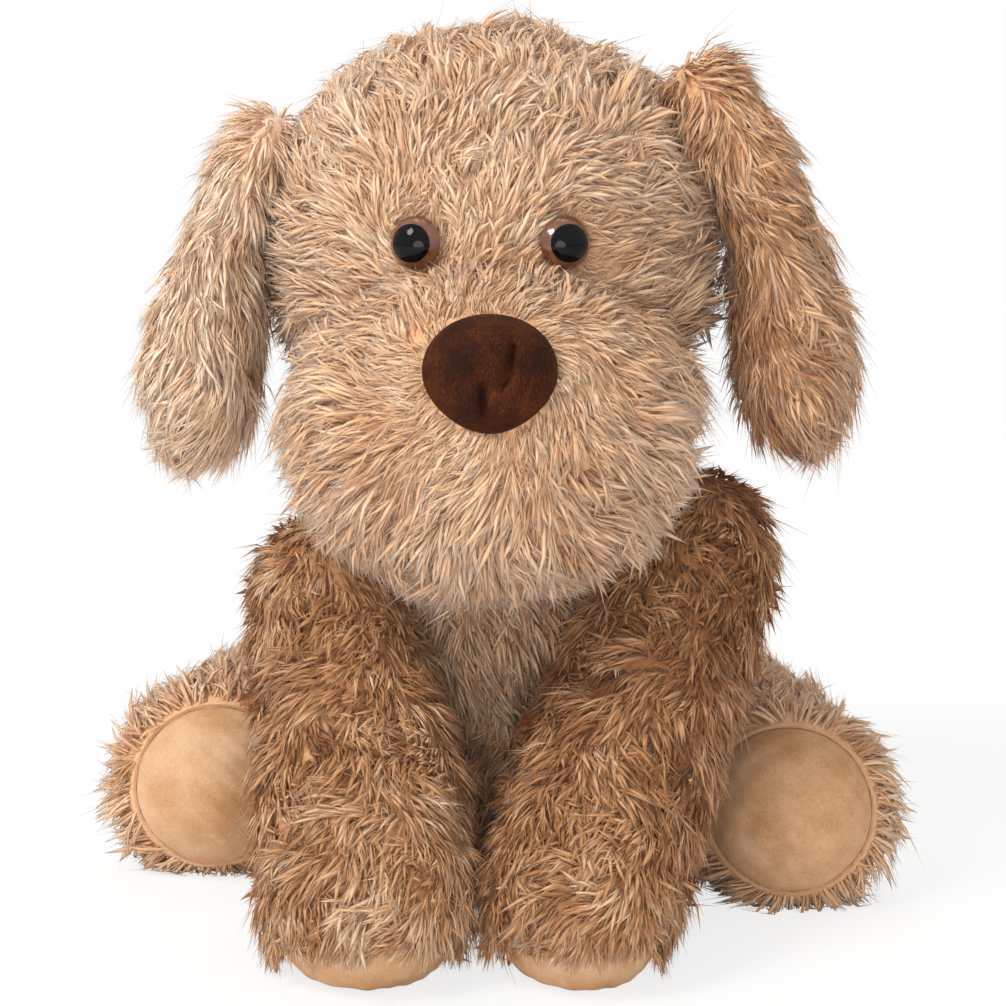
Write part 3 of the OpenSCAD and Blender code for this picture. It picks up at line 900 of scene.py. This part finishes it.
# %% Soles
for side in SIDES:
    for sole in ("front_sole_", "hind_sole_"):
        node = sole + side
        o, body = panels[node]
        place, normal = soles[node]
        pick(o)
        finer = o.modifiers.new("finer", "SUBSURF")
        finer.levels = finer.render_levels = 2
        bpy.ops.object.modifier_apply(modifier=finer.name)
        points = points_of(o)
        height = (points - np.array(place)) @ np.array(normal)
        dip = np.exp(-(height / (1.6 * MM)) ** 2)
        centre = points.mean(0)
        points -= 1.3 * MM * dip[:, None] * unit(points - (centre - 20 * MM * np.array(normal)))
        points += 0.35 * MM * drift(points * 2.2, 1)[:, None] * np.array(normal)
        points[:, 2] = np.maximum(points[:, 2], FLOOR)
        put_points(o, points)
        wall = o.modifiers.new("cloth", "SOLIDIFY")
        wall.thickness = 1.5 * MM
        wall.offset = -1
        bpy.ops.object.modifier_apply(modifier=wall.name)
        bpy.ops.object.shade_smooth()
        o.name = o.data.name = node + "_cloth"
        o.data.materials.append(velboa)
        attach(o, body)
        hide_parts(node)

# %% [markdown]
# The nose is a small velour cushion on the muzzle: a rounded triangle, wide at the top, gathered
# by a seam that runs from its middle to its lower edge.

# %% Nose
nose_half = (nose_high - nose_low) / 2
deselect()
bpy.ops.mesh.primitive_uv_sphere_add(segments=64, ring_count=40, radius=1, location=(0, 0, 0),
                                     rotation=(math.pi / 2, 0, 0))
nose = bpy.context.object
nose.scale = (nose_half.x, nose_half.z * 1.03, nose_half.y * 1.06)
bpy.ops.object.transform_apply(location=True, rotation=True, scale=True)
points = points_of(nose)
x, y, z = points.T
up = z / nose_half.z
points[:, 0] = x * (1 + 0.05 * up - 0.14 * np.clip(-up, 0, 1) ** 2)
front = np.clip(-y / nose_half.y, 0, 1)
# the seam runs from near the middle down to the lower edge, a little right of the middle as
# the dog sees it, and one tuck curves up beside it
SEAM_X = -2 * MM
below = 1 / (1 + np.exp((z + 5 * MM) / (1.0 * MM)))
groove = np.exp(-((x - SEAM_X) / (1.1 * MM)) ** 2) * below
swell = np.exp(-((abs(x - SEAM_X) - 5 * MM) / (4 * MM)) ** 2) * below
tuck_x = 3.5 * MM + 3.8 * MM * np.sqrt(np.clip((z + 5.5 * MM) / (13 * MM), 0, 1))
past_tuck = np.clip(abs(z - 1 * MM) - 6 * MM, 0, 1)
tuck = np.exp(-((x - tuck_x) / (0.9 * MM)) ** 2 - (past_tuck / (1.5 * MM)) ** 2)
points[:, 1] += front * (4.6 * groove - 1.3 * swell + 4.2 * tuck) * MM
points[:, 1] += 0.3 * MM * drift(points * 3, 0)
put_points(nose, points)
pick(nose)
bpy.ops.transform.rotate(value=math.radians(16), orient_axis="X", center_override=(0, 0, 0))
bpy.ops.transform.translate(value=nose_mid)
bpy.ops.object.transform_apply(location=True, rotation=True, scale=True)
bpy.ops.object.shade_smooth()
nose.name = nose.data.name = "nose_cover_cloth"
nose.data.materials.append(velour)
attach(nose, "head")
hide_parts("nose_cover")

# %% Finishes of the pieces that keep their solid shape
KEPT = {
    "eye_iris": iris_plastic, "eye_pupil": pupil_plastic, "eye_washer": washer_plastic,
    "ear_wadding": fibre_filling, "front_leg_filling": fibre_filling, "hind_leg_filling": fibre_filling,
}
finishes = {part + "_" + side: stuff for part, stuff in KEPT.items() for side in SIDES}
finishes |= {
    "torso_filling": fibre_filling, "head_filling": fibre_filling, "nose_filling": fibre_filling,
    "tail_filling": fibre_filling, "pellet_bag": bag_cotton, "pellets": pellet_plastic,
    "neck_stitching": thread_brown,
}
finishes["head_base_panel"] = plain("Cream knitted backing", "#b58e6e", 0.9, 1300, 0.6, "#c9a482")
for node, stuff in finishes.items():
    NODES[node].data.materials.clear()
    NODES[node].data.materials.append(stuff)

# %% [markdown]
# A pale floor and one broad lamp from the upper left, with weaker ones low in front and above,
# and a soft world around them. Behind the object the world is plain white to the camera.

# %% Floor, lamps and world
deselect()
bpy.ops.mesh.primitive_plane_add(size=12, location=(0, 0, 0))
floor = bpy.context.object
floor.name = "floor"
floor_material, tree, shader = new_material("Pale floor")
shader.inputs["Base Color"].default_value = colour("#f6f5f3")
shader.inputs["Roughness"].default_value = 0.8
path = add(tree, "ShaderNodeLightPath")
glow = add(tree, "ShaderNodeEmission", in_Color=colour("#ffffff"), in_Strength=1.0)
# the further from the object, the whiter, so that no horizon shows
ground = add(tree, "ShaderNodeNewGeometry").outputs["Position"]
far = add(tree, "ShaderNodeVectorMath", [(0, ground)], operation="LENGTH").outputs["Value"]
white = add(tree, "ShaderNodeMapRange", [(0, far)], in_1=0.3, in_2=1.3, in_3=0.8, in_4=1.0)
share = add(tree, "ShaderNodeMath",
            [(0, path.outputs["Is Camera Ray"]), (1, white.outputs[0])], operation="MULTIPLY")
blend = add(tree, "ShaderNodeMixShader",
            [(0, share.outputs[0]), (1, shader.outputs[0]), (2, glow.outputs[0])])
tree.links.new(blend.outputs[0], tree.nodes["Material Output"].inputs["Surface"])
floor.data.materials.append(floor_material)

world = bpy.data.worlds.new("studio")
bpy.context.scene.world = world
world.use_nodes = True
tree = world.node_tree
path = add(tree, "ShaderNodeLightPath")
seen = add(tree, "ShaderNodeMath",
           [(0, path.outputs["Is Camera Ray"]), (1, path.outputs["Is Glossy Ray"])], operation="MAXIMUM")
seen = add(tree, "ShaderNodeMath",
           [(0, seen.outputs[0]), (1, path.outputs["Is Transmission Ray"])], operation="MAXIMUM")
AMBIENT = 0.62
strength = add(tree, "ShaderNodeMapRange", [(0, seen.outputs[0])], in_3=AMBIENT, in_4=1.0)
tree.links.new(strength.outputs[0], tree.nodes["Background"].inputs["Strength"])
tree.nodes["Background"].inputs["Color"].default_value = (1, 1, 1, 1)


def lamp(name, place, power, size):
    """A round lamp that faces the object, its power in watts and its size in metres."""
    data = bpy.data.lights.new(name, "AREA")
    data.shape = "DISK"
    data.energy = power
    data.size = size
    o = bpy.data.objects.new(name, data)
    o.location = place
    o.rotation_euler = (target - Vector(place)).to_track_quat("-Z", "Y").to_euler()
    bpy.context.scene.collection.objects.link(o)


lamp("key lamp", (-1.1, -1.05, 1.7), 33, 0.8)
lamp("fill lamp", (-0.1, -1.6, 0.15), 12, 1.0)
lamp("top lamp", (0.0, 0.6, 1.6), 5, 0.9)

# %% Finish
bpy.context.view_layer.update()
print("built in", round(time.perf_counter() - began, 1), "s")
